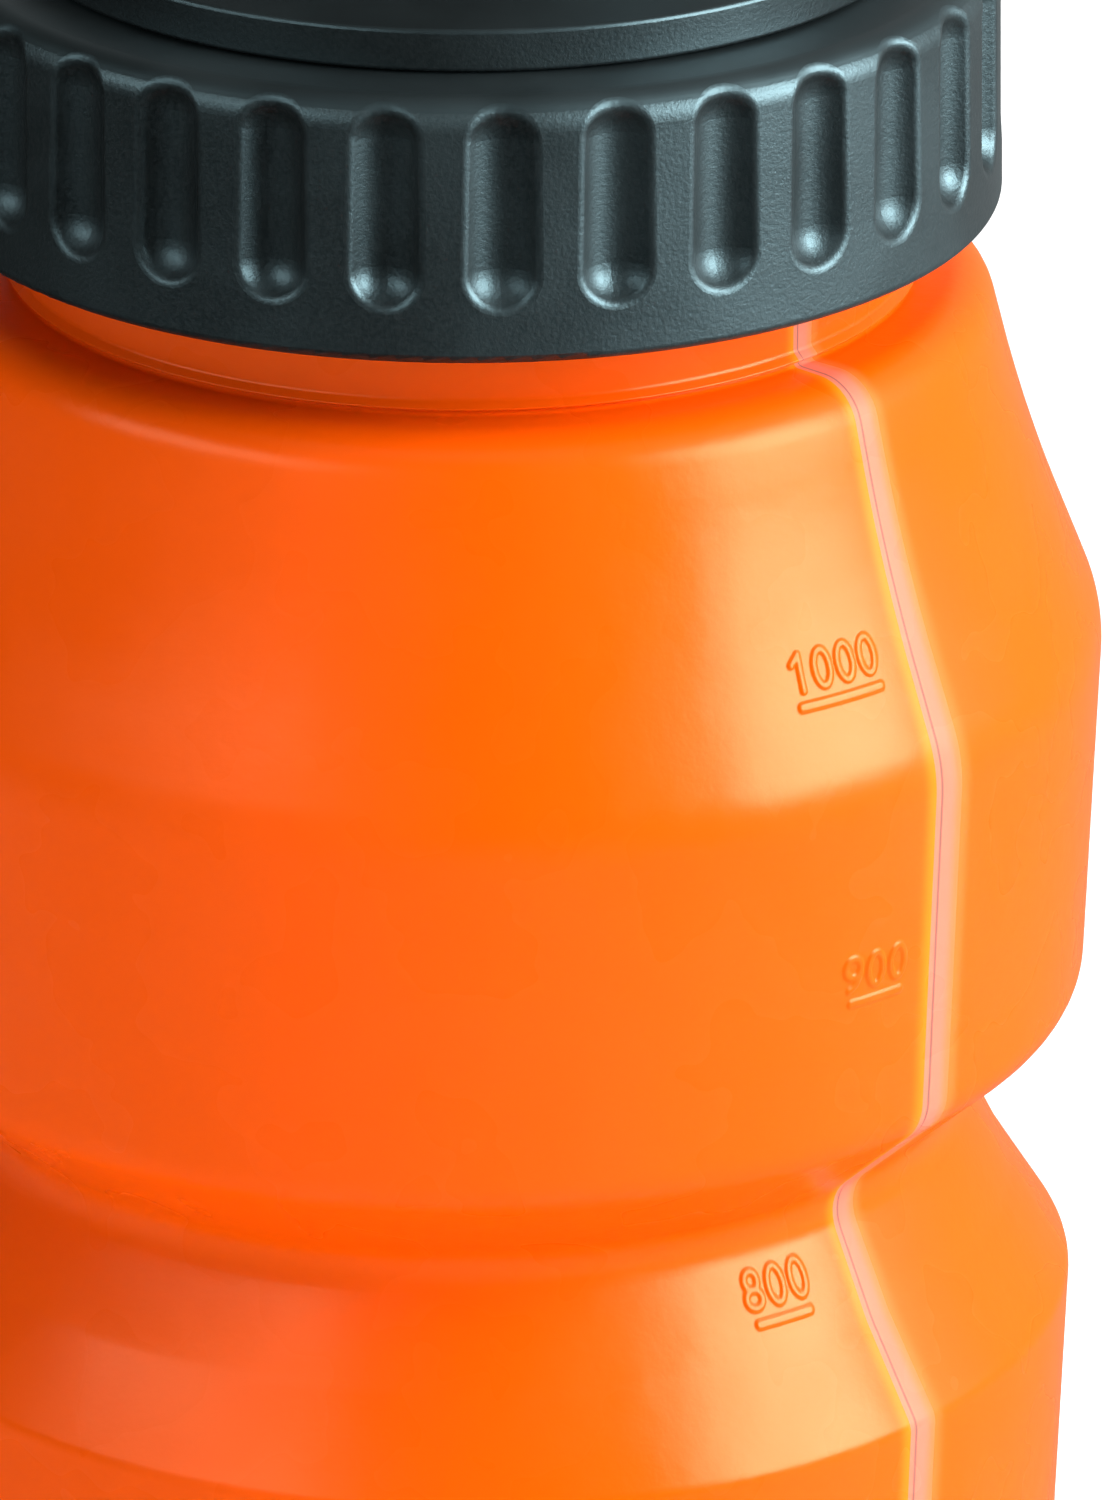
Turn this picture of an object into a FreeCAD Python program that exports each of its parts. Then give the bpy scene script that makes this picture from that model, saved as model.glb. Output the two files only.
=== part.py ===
"""Sports squeeze bottle, about 1.1 litre: a blow-moulded body with a clear level stripe, a fluted screw
lid with a sealing ring, a push-pull drinking valve and a push-on dust cover.

The bottle stands on z = 0 with its axis on Z, and the level stripe faces -Y. The lid's parts are drawn
from the lid's lower edge and lifted to it by their Placement."""

import FreeCAD, Part
import os

import Sketcher
from FreeCAD import Placement, Rotation, Vector

ORIGIN = (-1, 1)
H_AXIS = -1
V_AXIS = -2
START, END = 1, 2

# alias, value in millimetres unless it says otherwise, meaning
DIMENSIONS = [
    ("body_wall", 1.2, "wall of the blown body"),
    ("lid_seat", 242.8, "height of the lid's lower edge above the base"),
    ("foot_inner", 30.5, "inner radius of the ring the bottle stands on"),
    ("base_panel", 26.0, "radius of the raised base panel"),
    ("base_rise", 3.5, "rise of the base panel above the foot"),
    ("base_round", 7.0, "rounding of the base corner"),
    ("barrel_low", 39.65, "radius of the straight lower barrel"),
    ("barrel_low_drop", 98.0, "top of the straight barrel, below the lid's edge"),
    ("lip_low", 40.4, "radius of the lip under the waist"),
    ("lip_low_drop", 74.7, "its depth below the lid's edge"),
    ("waist_low", 36.4, "radius where the waist's floor meets its lower flank"),
    ("waist_low_drop", 68.5, "its depth below the lid's edge"),
    ("waist_top", 32.6, "radius where the waist's floor meets its upper flank"),
    ("waist_top_drop", 61.0, "its depth below the lid's edge"),
    ("lip_high", 40.8, "radius of the lip over the waist"),
    ("lip_high_drop", 53.6, "its depth below the lid's edge"),
    ("barrel_high", 41.6, "largest radius, at the foot of the shoulder"),
    ("barrel_high_drop", 28.9, "its depth below the lid's edge"),
    ("sweep", 36.5, "radius halfway down the shoulder's hollow flank"),
    ("sweep_drop", 16.4, "its depth below the lid's edge"),
    ("shoulder", 33.6, "radius of the shoulder's upper corner"),
    ("shoulder_drop", 5.3, "its depth below the lid's edge"),
    ("neck", 28.85, "outer radius of the neck"),
    ("neck_bead", 29.35, "radius of the bead at the neck's foot"),
    ("neck_bead_drop", 4.9, "underside of the bead below the lid's edge"),
    ("neck_bead_edge", 0.15, "height of the bead's upright edge"),
    ("neck_bead_rise", 0.85, "height of the bead with its sloping top"),
    ("neck_rise", 13.9, "neck rim above the lid's edge"),
    ("lip_low_round", 1.6, "rounding of the lower lip"),
    ("waist_low_round", 8.0, "rounding of the waist's lower corner"),
    ("waist_top_round", 3.0, "rounding of the waist's upper corner"),
    ("lip_high_round", 3.8, "rounding of the upper lip"),
    ("barrel_high_round", 10.0, "rounding of the shoulder's foot"),
    ("sweep_round", 100.0, "rounding of the shoulder's hollow flank"),
    ("shoulder_round", 3.2, "rounding of the shoulder's upper corner"),
    ("stripe_angle", 3.4, "degrees that the clear stripe takes of the wall"),
    ("stripe_end", 8.0, "radius where the stripe ends under the base"),
    ("pitch", 4.2, "thread pitch"),
    ("thread_run", 6.3, "height the thread climbs"),
    ("thread_root", 2.0, "width of a thread at its root"),
    ("thread_crest", 1.0, "width of a thread at its crest"),
    ("neck_thread", 30.75, "crest radius of the neck's thread"),
    ("neck_thread_start", 2.2, "middle of its first turn above the lid's edge"),
    ("lid_thread", 29.35, "crest radius of the lid's thread"),
    ("lid_thread_start", 4.3, "middle of its first turn above the lid's edge"),
    ("thread_bite", 0.3, "how far a thread's root is sunk into its wall"),
    ("lid_foot", 34.5, "lid radius at its lower edge"),
    ("lid_brow", 34.15, "lid radius at its top"),
    ("lid_height", 16.85, "lid height to its flat top"),
    ("lid_bore", 31.3, "inner radius of the lid's skirt"),
    ("lid_roof", 15.5, "underside of the lid's top"),
    ("lid_brow_round", 2.0, "rounding of the lid's upper edge"),
    ("lid_foot_round", 0.6, "rounding of the lid's lower edge"),
    ("plug_outer", 27.2, "outer radius of the ring that enters the neck"),
    ("plug_inner", 25.7, "its inner radius"),
    ("plug_depth", 11.4, "height of its lower end"),
    ("lid_twist", 10.46, "degrees from +X to the lid's first flute when the lid is tight"),
    ("flute_count", 30, "flutes round the lid"),
    ("flute_radius", 2.35, "radius of a flute's round cutter"),
    ("flute_axis", 35.25, "distance of the cutter's axis from the lid's axis"),
    ("flute_low", 5.75, "centre of the flute's lower round end"),
    ("flute_high", 14.15, "centre of the flute's upper round end"),
    ("flute_round", 0.65, "rounding of a flute's edges"),
    ("rim_outer", 27.0, "outer radius of the ring the cover snaps on"),
    ("rim_inner", 25.6, "its inner radius"),
    ("rim_height", 19.05, "its top"),
    ("cone_foot", 15.5, "radius where the lid's centre starts to rise"),
    ("cone_head", 10.2, "radius where the rise meets the tower"),
    ("cone_height", 19.6, "height where the rise meets the tower"),
    ("tower", 9.0, "outer radius of the valve tower"),
    ("tower_bore", 6.8, "bore of the valve tower"),
    ("tower_height", 30.5, "top of the tower"),
    ("stop", 9.35, "radius of the tower's two collars"),
    ("stop_low", 27.6, "underside of the lower collar"),
    ("seal_low", 28.3, "lower side of the seal's groove"),
    ("seal_high", 30.0, "upper side of the seal's groove"),
    ("seal_floor", 7.65, "floor radius of the seal's groove"),
    ("seal_ring", 8.5, "radius of the nozzle seal's centre line"),
    ("seal_section", 0.82, "section radius of the nozzle seal"),
    ("gasket_outer", 31.0, "outer radius of the lid's sealing ring"),
    ("gasket_inner", 27.35, "its inner radius"),
    ("gasket_round", 0.3, "rounding of its edges"),
    ("gasket_play", 0.02, "gap over and under it, so that it is held without overlap"),
    ("stem", 2.1, "radius of the valve's post"),
    ("stem_foot", 16.2, "lower end of the post"),
    ("stem_ring", 5.6, "inner radius of the post's carrier ring"),
    ("stem_ring_top", 20.4, "top of the carrier ring"),
    ("stem_head", 4.0, "radius of the plug on the post"),
    ("stem_head_low", 34.8, "lower end of the plug's straight side"),
    ("stem_head_high", 37.2, "top of the plug"),
    ("stem_taper", 1.0, "height of the cone between post and plug"),
    ("stem_bevel", 0.5, "bevel of the plug's upper edge"),
    ("rib_width", 1.2, "width of a carrier rib"),
    ("rib_count", 3, "carrier ribs"),
    ("nozzle", 11.3, "outer radius of the nozzle's skirt"),
    ("nozzle_low", 21.0, "lower end of the nozzle"),
    ("nozzle_catch", 9.07, "inner radius of the catch at its lower end"),
    ("nozzle_catch_top", 22.4, "top of the catch"),
    ("nozzle_bore", 9.42, "bore that slides on the tower"),
    ("nozzle_roof", 30.8, "top of that bore"),
    ("nozzle_flange", 12.6, "radius of the flange for pulling"),
    ("nozzle_flange_low", 30.4, "underside of the flange"),
    ("nozzle_flange_high", 32.2, "top of the flange"),
    ("nozzle_flare", 1.0, "height of the cone between skirt and flange"),
    ("nozzle_round", 0.45, "rounding of the nozzle's edges"),
    ("tip", 7.3, "outer radius of the nozzle's tip"),
    ("tip_height", 37.6, "top of the tip"),
    ("chamber", 6.0, "radius of the flow chamber"),
    ("throat_low", 34.6, "where the throat starts"),
    ("throat", 4.08, "radius of the throat the plug closes"),
    ("mouth_skirt", 11.6, "outer radius of the mouthpiece's foot"),
    ("mouth_foot", 33.4, "top of the mouthpiece's foot"),
    ("mouth_foot_lean", 0.4, "how far the foot's side leans in"),
    ("mouth_waist", 8.7, "radius of the mouthpiece's neck"),
    ("mouth_waist_at", 35.2, "height of the mouthpiece's neck"),
    ("mouth_bead", 9.5, "radius of the mouthpiece's bead"),
    ("mouth_bead_at", 37.4, "height of the mouthpiece's bead"),
    ("mouth_top", 39.0, "top of the mouthpiece"),
    ("mouth_face", 7.6, "radius of the mouthpiece's flat face"),
    ("mouth_hole", 4.3, "radius of the mouthpiece's hole"),
    ("mouth_round", 0.7, "rounding of the mouthpiece's bead and face"),
    ("mouth_neck_round", 1.4, "rounding of the mouthpiece's neck"),
    ("cover_wall", 1.5, "wall of the dust cover"),
    ("cover_skirt", 28.8, "outer radius of the cover's skirt"),
    ("cover_bore", 27.08, "bore of the cover's skirt"),
    ("cover_bore_top", 19.2, "height where that bore ends"),
    ("cover_low", 17.0, "lower edge of the cover's skirt"),
    ("cover_brim", 19.7, "top of the cover's skirt"),
    ("cover_crown_foot", 21.0, "radius where the brim meets the crown"),
    ("cover_crown_low", 21.3, "height where the brim meets the crown"),
    ("cover_crown_head", 18.2, "radius of the crown's upper corner"),
    ("cover_crown_high", 45.6, "height of the crown's upper corner"),
    ("cover_top", 47.0, "top of the cover"),
    ("cover_foot_round", 3.5, "rounding between brim and crown"),
    ("cover_head_round", 6.5, "rounding of the crown's upper corner"),
    ("cover_edge_round", 0.3, "rounding of the skirt's upper edge"),
]


class Size:
    """A length that knows its own spreadsheet expression, so one sum gives both value and binding."""

    def __init__(self, value, text):
        self.value = value
        self.text = text

    def _with(self, other, symbol, value):
        text = other.text if isinstance(other, Size) else repr(other)
        return Size(value, f"({self.text} {symbol} {text})")

    def __add__(self, other):
        return self._with(other, "+", self.value + number(other))

    def __sub__(self, other):
        return self._with(other, "-", self.value - number(other))

    def __mul__(self, other):
        return self._with(other, "*", self.value * number(other))

    def __truediv__(self, other):
        return self._with(other, "/", self.value / number(other))


def number(size):
    """The plain number behind a Size or a number."""
    return size.value if isinstance(size, Size) else float(size)


def make_sheet(doc):
    """Writes the driving dimensions to a spreadsheet and returns them by alias."""
    sheet = doc.addObject("Spreadsheet::Sheet", "Sizes")
    for row, (alias, value, meaning) in enumerate(DIMENSIONS, start=1):
        sheet.set(f"A{row}", meaning)
        sheet.set(f"B{row}", str(value))
        sheet.setAlias(f"B{row}", alias)
    return {alias: Size(float(value), f"Sizes.{alias}") for alias, value, _ in DIMENSIONS}


def bind(obj, prop, size):
    """Binds a property of obj to the spreadsheet."""
    obj.setExpression(prop, size.text)


def make_body(doc, label, lift=None, twist=0):
    """A PartDesign body, turned by twist degrees about Z; lift is its own zero's height above the base."""
    body = doc.addObject("PartDesign::Body", label)
    body.Label = label
    body.Placement = Placement(Vector(0, 0, 0), Rotation(Vector(0, 0, 1), number(twist)))
    if lift is not None:
        bind(body, "Placement.Base.z", lift)
    return body


def origin_feature(body, role):
    """One of the body's own origin planes or axes."""
    return next(f for f in body.Origin.OriginFeatures if f.Role == role)


def make_sketch(body, name, plane):
    """An empty sketch on one of the body's origin planes."""
    sketch = body.newObject("Sketcher::SketchObject", name)
    sketch.AttachmentSupport = [(origin_feature(body, plane), "")]
    sketch.MapMode = "FlatFace"
    return sketch


def pin_point(sketch, geo, pos, x, y, tag):
    """Fixes one sketch point at (x, y), each a Size bound to the sheet or 0 for a point on an axis."""
    for axis, kind, size in ((V_AXIS, "DistanceX", x), (H_AXIS, "DistanceY", y)):
        if isinstance(size, Size):
            index = sketch.addConstraint(Sketcher.Constraint(kind, *ORIGIN, geo, pos, size.value))
            name = f"{tag}_{kind[-1].lower()}"
            sketch.renameConstraint(index, name)
            bind(sketch, f"Constraints.{name}", size)
        else:
            sketch.addConstraint(Sketcher.Constraint("PointOnObject", geo, pos, axis))


def make_outline(body, name, points, plane="XZ_Plane"):
    """A closed outline of straight sides on one of the body's origin planes, bound to the sheet."""
    sketch = make_sketch(body, name, plane)
    corners = [Vector(number(x), number(y), 0) for x, y in points]
    count = len(corners)
    for side, corner in enumerate(corners):
        sketch.addGeometry(Part.LineSegment(corner, corners[(side + 1) % count]), False)
    for side, point in enumerate(points):
        before = (side - 1) % count
        sketch.addConstraint(Sketcher.Constraint("Coincident", before, END, side, START))
        pin_point(sketch, side, START, *point, f"p{side}")
    return sketch


def spin(body, sketch, name):
    """Turns an outline through a full circle about the body's Z axis."""
    feature = body.newObject("PartDesign::Revolution", name)
    feature.Profile = sketch
    feature.ReferenceAxis = (sketch, ["V_Axis"])
    feature.Angle = 360
    body.Document.recompute()
    return feature


def ring_edges(shape, radius, height, reach=0.05):
    """Names of the circular edges of a turned shape at a radius and height."""
    found = []
    for index, edge in enumerate(shape.Edges, start=1):
        curve = edge.Curve
        if not isinstance(curve, Part.Circle) or abs(curve.Axis.z) < 0.999:
            continue
        if abs(curve.Radius - number(radius)) < reach and abs(curve.Center.z - number(height)) < reach:
            found.append(f"Edge{index}")
    return found


def round_rings(body, feature, name, rounding, places):
    """Rounds the ring edges at the given (radius, height) places by one radius."""
    edges = []
    for radius, height in places:
        found = ring_edges(feature.Shape, radius, height)
        if not found:
            raise RuntimeError(f"{name}: no edge at {number(radius)}, {number(height)}")
        edges += found
    fillet = body.newObject("PartDesign::Fillet", name)
    fillet.Base = (feature, edges)
    bind(fillet, "Radius", rounding)
    body.Document.recompute()
    return fillet


def make_thread(body, s, name, wall, crest, start):
    """A trapezoid thread on a wall: it stands out where crest is the larger radius, else in."""
    inward = number(crest) < number(wall)
    root = wall + s["thread_bite"] if inward else wall - s["thread_bite"]
    half_root = s["thread_root"] / 2
    half_crest = s["thread_crest"] / 2
    points = [
        (root, start - half_root),
        (crest, start - half_crest),
        (crest, start + half_crest),
        (root, start + half_root),
    ]
    sketch = make_outline(body, f"{name}_section", points)
    helix = body.newObject("PartDesign::AdditiveHelix", name)
    helix.Profile = sketch
    helix.ReferenceAxis = (sketch, ["V_Axis"])
    helix.Mode = "pitch-height-angle"
    bind(helix, "Pitch", s["pitch"])
    bind(helix, "Height", s["thread_run"])
    helix.Angle = 0
    helix.LeftHanded = False
    helix.Reversed = False
    body.Document.recompute()
    return helix


def make_bottle(doc, s):
    """The blown body, cut along its clear stripe into bottle_body and view_stripe."""
    seat = s["lid_seat"]
    shell = make_body(doc, "blown_shell")
    rim = (s["neck"], seat + s["neck_rise"])
    lips = {
        "lip_low_round": (s["lip_low"], seat - s["lip_low_drop"]),
        "waist_low_round": (s["waist_low"], seat - s["waist_low_drop"]),
        "waist_top_round": (s["waist_top"], seat - s["waist_top_drop"]),
        "lip_high_round": (s["lip_high"], seat - s["lip_high_drop"]),
        "barrel_high_round": (s["barrel_high"], seat - s["barrel_high_drop"]),
        "sweep_round": (s["sweep"], seat - s["sweep_drop"]),
        "shoulder_round": (s["shoulder"], seat - s["shoulder_drop"]),
    }
    points = [
        (0, s["base_rise"]),
        (s["base_panel"], s["base_rise"]),
        (s["foot_inner"], 0),
        (s["barrel_low"], 0),
        (s["barrel_low"], seat - s["barrel_low_drop"]),
        *lips.values(),
        (s["neck"], seat - s["shoulder_drop"]),
        rim,
        (0, seat + s["neck_rise"]),
    ]
    solid = spin(shell, make_outline(shell, "body_outline", points), "body_solid")
    solid = round_rings(shell, solid, "base_rounding", s["base_round"], [(s["barrel_low"], 0)])
    for rounding, place in lips.items():
        solid = round_rings(shell, solid, rounding + "ing", s[rounding], [place])
    top = next(
        f"Face{i}"
        for i, face in enumerate(solid.Shape.Faces, start=1)
        if abs(face.BoundBox.ZMin - number(rim[1])) < 1e-6
    )
    hollow = shell.newObject("PartDesign::Thickness", "hollow")
    hollow.Base = (solid, [top])
    bind(hollow, "Value", s["body_wall"])
    hollow.Reversed = True
    hollow.Mode = 0
    hollow.Join = 0
    doc.recompute()
    bead_root = s["neck"] - s["thread_bite"]
    bead_foot = seat - s["neck_bead_drop"]
    bead_head = bead_foot + s["neck_bead_rise"]
    bead = [
        (bead_root, bead_foot),
        (s["neck_bead"], bead_foot),
        (s["neck_bead"], bead_foot + s["neck_bead_edge"]),
        (bead_root, bead_head),
    ]
    spin(shell, make_outline(shell, "bead_outline", bead), "neck_bead")
    make_thread(shell, s, "neck_thread", s["neck"], s["neck_thread"], seat + s["neck_thread_start"])

    sector = doc.addObject("Part::Cylinder", "stripe_sector")
    sector_start = -90 - number(s["stripe_angle"]) / 2
    sector.Placement = Placement(Vector(0, 0, 0), Rotation(Vector(0, 0, 1), sector_start))
    bind(sector, "Radius", s["barrel_high"] + s["body_wall"])
    bind(sector, "Height", seat + s["neck_rise"] + s["body_wall"])
    bind(sector, "Angle", s["stripe_angle"])
    hub = doc.addObject("Part::Cylinder", "stripe_hub")
    bind(hub, "Radius", s["stripe_end"])
    bind(hub, "Height", seat)
    stripe_cut = doc.addObject("Part::Cut", "stripe_cut")
    stripe_cut.Base = sector
    stripe_cut.Tool = hub
    pieces = []
    for label, kind in (("bottle_body", "Part::Cut"), ("view_stripe", "Part::Common")):
        piece = doc.addObject(kind, label)
        piece.Base = shell
        piece.Tool = stripe_cut
        piece.Refine = False
        pieces.append(piece)
    doc.recompute()
    return pieces


def make_flutes(body, s, base):
    """Long round-ended hollows round the lid's wall, each cut by a capsule, with eased edges."""
    axis, radius = s["flute_axis"], s["flute_radius"]
    low, high = s["flute_low"], s["flute_high"]
    sketch = make_sketch(body, "flute_section", "XZ_Plane")
    a, r, z0, z1 = number(axis), number(radius), number(low), number(high)
    spine = sketch.addGeometry(Part.LineSegment(Vector(a, z0 - r, 0), Vector(a, z1 + r, 0)), False)
    side = sketch.addGeometry(Part.LineSegment(Vector(a - r, z1, 0), Vector(a - r, z0, 0)), False)
    slant = r * 0.5**0.5
    top = sketch.addGeometry(
        Part.Arc(Vector(a, z1 + r, 0), Vector(a - slant, z1 + slant, 0), Vector(a - r, z1, 0)), False
    )
    foot = sketch.addGeometry(
        Part.Arc(Vector(a - r, z0, 0), Vector(a - slant, z0 - slant, 0), Vector(a, z0 - r, 0)), False
    )
    pin_point(sketch, spine, START, axis, low - radius, "foot")
    pin_point(sketch, spine, END, axis, high + radius, "head")
    pin_point(sketch, side, START, axis - radius, high, "side_high")
    pin_point(sketch, side, END, axis - radius, low, "side_low")
    for arc, side_end, spine_end in ((top, START, END), (foot, END, START)):
        gap = sketch.getPoint(arc, START).distanceToPoint(sketch.getPoint(side, side_end))
        near, far = (START, END) if gap < 1e-6 else (END, START)
        sketch.addConstraint(Sketcher.Constraint("Tangent", arc, near, side, side_end))
        sketch.addConstraint(Sketcher.Constraint("Coincident", arc, far, spine, spine_end))
    axis_line = sketch.addGeometry(Part.LineSegment(Vector(a, z0, 0), Vector(a, z1, 0)), True)
    pin_point(sketch, axis_line, START, axis, low, "axis_low")
    pin_point(sketch, axis_line, END, axis, high, "axis_high")
    flute = body.newObject("PartDesign::Groove", "flute")
    flute.Profile = sketch
    flute.ReferenceAxis = (sketch, ["Axis0"])
    flute.Angle = 360
    body.Document.recompute()
    check_cut(base, flute)
    pattern = body.newObject("PartDesign::PolarPattern", "flute_ring")
    pattern.Originals = [flute]
    pattern.Axis = (sketch, ["V_Axis"])
    pattern.Angle = 360
    bind(pattern, "Occurrences", s["flute_count"])
    body.Tip = pattern
    body.Document.recompute()
    return pattern


def check_cut(before, after):
    """Stops if a cut removed nothing."""
    if after.Shape.Volume > before.Shape.Volume - 1:
        raise RuntimeError(f"{after.Label} cuts nothing")


def flute_edges(shape, s, slack=0.4):
    """Names of the edges where the flutes meet the lid's outer wall."""
    names = []
    low = number(s["flute_low"]) - number(s["flute_radius"])
    high = number(s["flute_high"]) + number(s["flute_radius"])
    for index, edge in enumerate(shape.Edges, start=1):
        box = edge.BoundBox
        if isinstance(edge.Curve, Part.Circle) or box.ZMin < low - slack or box.ZMax > high + slack:
            continue
        middle = edge.valueAt((edge.FirstParameter + edge.LastParameter) / 2)
        radius = (middle.x**2 + middle.y**2) ** 0.5
        if radius > number(s["flute_axis"] - s["flute_radius"]) + slack:
            names.append(f"Edge{index}")
    return names


def make_lid(doc, s):
    """The screw lid: skirt, top, the ring that enters the neck, the cover's snap ring and the tower."""
    lid = make_body(doc, "lid", s["lid_seat"], s["lid_twist"])
    points = [
        (s["lid_bore"], 0),
        (s["lid_foot"], 0),
        (s["lid_brow"], s["lid_height"]),
        (s["rim_outer"], s["lid_height"]),
        (s["rim_outer"], s["rim_height"]),
        (s["rim_inner"], s["rim_height"]),
        (s["rim_inner"], s["lid_height"]),
        (s["cone_foot"], s["lid_height"]),
        (s["cone_head"], s["cone_height"]),
        (s["tower"], s["cone_height"]),
        (s["tower"], s["stop_low"]),
        (s["stop"], s["stop_low"]),
        (s["stop"], s["seal_low"]),
        (s["seal_floor"], s["seal_low"]),
        (s["seal_floor"], s["seal_high"]),
        (s["stop"], s["seal_high"]),
        (s["stop"], s["tower_height"]),
        (s["tower_bore"], s["tower_height"]),
        (s["tower_bore"], s["lid_roof"]),
        (s["plug_inner"], s["lid_roof"]),
        (s["plug_inner"], s["plug_depth"]),
        (s["plug_outer"], s["plug_depth"]),
        (s["plug_outer"], s["lid_roof"]),
        (s["lid_bore"], s["lid_roof"]),
    ]
    solid = spin(lid, make_outline(lid, "lid_outline", points), "lid_solid")
    solid = round_rings(lid, solid, "brow_rounding", s["lid_brow_round"], [(s["lid_brow"], s["lid_height"])])
    solid = round_rings(lid, solid, "foot_rounding", s["lid_foot_round"], [(s["lid_foot"], 0)])
    fluted = make_flutes(lid, s, solid)
    eased = lid.newObject("PartDesign::Fillet", "flute_easing")
    eased.Base = (fluted, flute_edges(fluted.Shape, s))
    bind(eased, "Radius", s["flute_round"])
    doc.recompute()
    make_thread(lid, s, "lid_thread", s["lid_bore"], s["lid_thread"], s["lid_thread_start"])
    return lid


def make_gasket(doc, s):
    """The silicone ring between the lid and the neck's rim."""
    gasket = make_body(doc, "lid_gasket", s["lid_seat"])
    low = s["neck_rise"] + s["gasket_play"]
    high = s["lid_roof"] - s["gasket_play"]
    corners = [
        (s["gasket_inner"], low),
        (s["gasket_outer"], low),
        (s["gasket_outer"], high),
        (s["gasket_inner"], high),
    ]
    ring = spin(gasket, make_outline(gasket, "gasket_outline", corners), "gasket_ring")
    round_rings(gasket, ring, "gasket_edges", s["gasket_round"], corners)
    return gasket


def make_stem(doc, s):
    """The fixed post with the plug that closes the nozzle, held in the tower by three ribs."""
    stem = make_body(doc, "valve_stem", s["lid_seat"])
    foot, ring_top = s["stem_foot"], s["stem_ring_top"]
    post = [
        (0, foot),
        (s["stem"], foot),
        (s["stem"], s["stem_head_low"] - s["stem_taper"]),
        (s["stem_head"], s["stem_head_low"]),
        (s["stem_head"], s["stem_head_high"] - s["stem_bevel"]),
        (s["stem_head"] - s["stem_bevel"], s["stem_head_high"]),
        (0, s["stem_head_high"]),
    ]
    spin(stem, make_outline(stem, "post_outline", post), "post")
    right = s["rib_width"] / 2
    left = right * -1
    section = [(left, foot), (right, foot), (right, ring_top), (left, ring_top)]
    rib = stem.newObject("PartDesign::Pad", "rib")
    rib.Profile = make_outline(stem, "rib_section", section, "YZ_Plane")
    bind(rib, "Length", (s["stem_ring"] + s["tower_bore"]) / 2)
    doc.recompute()
    ribs = stem.newObject("PartDesign::PolarPattern", "ribs")
    ribs.Originals = [rib]
    ribs.Axis = (origin_feature(stem, "Z_Axis"), [""])
    ribs.Angle = 360
    bind(ribs, "Occurrences", s["rib_count"])
    stem.Tip = ribs
    doc.recompute()
    outer = s["tower_bore"] - s["gasket_play"]
    carrier = [(s["stem_ring"], foot), (outer, foot), (outer, ring_top), (s["stem_ring"], ring_top)]
    spin(stem, make_outline(stem, "carrier_outline", carrier), "carrier")
    return stem


def make_seal(doc, s):
    """The ring in the tower's groove that the nozzle slides on."""
    seal = doc.addObject("Part::Torus", "nozzle_seal")
    bind(seal, "Radius1", s["seal_ring"])
    bind(seal, "Radius2", s["seal_section"])
    bind(seal, "Placement.Base.z", s["lid_seat"] + (s["seal_low"] + s["seal_high"]) / 2)
    return seal


def make_nozzle(doc, s):
    """The hard nozzle that slides on the tower: down, its throat closes on the plug."""
    nozzle = make_body(doc, "nozzle", s["lid_seat"])
    points = [
        (s["nozzle_catch"], s["nozzle_low"]),
        (s["nozzle"], s["nozzle_low"]),
        (s["nozzle"], s["nozzle_flange_low"] - s["nozzle_flare"]),
        (s["nozzle_flange"], s["nozzle_flange_low"]),
        (s["nozzle_flange"], s["nozzle_flange_high"]),
        (s["tip"], s["nozzle_flange_high"]),
        (s["tip"], s["tip_height"]),
        (s["throat"], s["tip_height"]),
        (s["throat"], s["throat_low"]),
        (s["chamber"], s["throat_low"]),
        (s["chamber"], s["nozzle_roof"]),
        (s["nozzle_bore"], s["nozzle_roof"]),
        (s["nozzle_bore"], s["nozzle_catch_top"]),
        (s["nozzle_catch"], s["nozzle_catch_top"]),
    ]
    solid = spin(nozzle, make_outline(nozzle, "nozzle_outline", points), "nozzle_solid")
    flange = [(s["nozzle_flange"], s["nozzle_flange_low"]), (s["nozzle_flange"], s["nozzle_flange_high"])]
    solid = round_rings(nozzle, solid, "flange_rounding", s["nozzle_round"], flange)
    round_rings(nozzle, solid, "skirt_rounding", s["nozzle_round"], [(s["nozzle"], s["nozzle_low"])])
    return nozzle


def make_mouthpiece(doc, s):
    """The soft sleeve over the nozzle's tip."""
    mouth = make_body(doc, "mouthpiece", s["lid_seat"])
    points = [
        (s["tip"], s["nozzle_flange_high"]),
        (s["mouth_skirt"], s["nozzle_flange_high"]),
        (s["mouth_skirt"] - s["mouth_foot_lean"], s["mouth_foot"]),
        (s["mouth_waist"], s["mouth_waist_at"]),
        (s["mouth_bead"], s["mouth_bead_at"]),
        (s["mouth_face"], s["mouth_top"]),
        (s["mouth_hole"], s["mouth_top"]),
        (s["mouth_hole"], s["tip_height"]),
        (s["tip"], s["tip_height"]),
    ]
    solid = spin(mouth, make_outline(mouth, "mouthpiece_outline", points), "mouthpiece_solid")
    rims = [(s["mouth_bead"], s["mouth_bead_at"]), (s["mouth_face"], s["mouth_top"])]
    waist = [(s["mouth_waist"], s["mouth_waist_at"])]
    solid = round_rings(mouth, solid, "bead_rounding", s["mouth_round"], rims)
    solid = round_rings(mouth, solid, "neck_rounding", s["mouth_neck_round"], waist)
    round_rings(mouth, solid, "hole_rounding", s["nozzle_round"], [(s["mouth_hole"], s["mouth_top"])])
    return mouth


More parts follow.
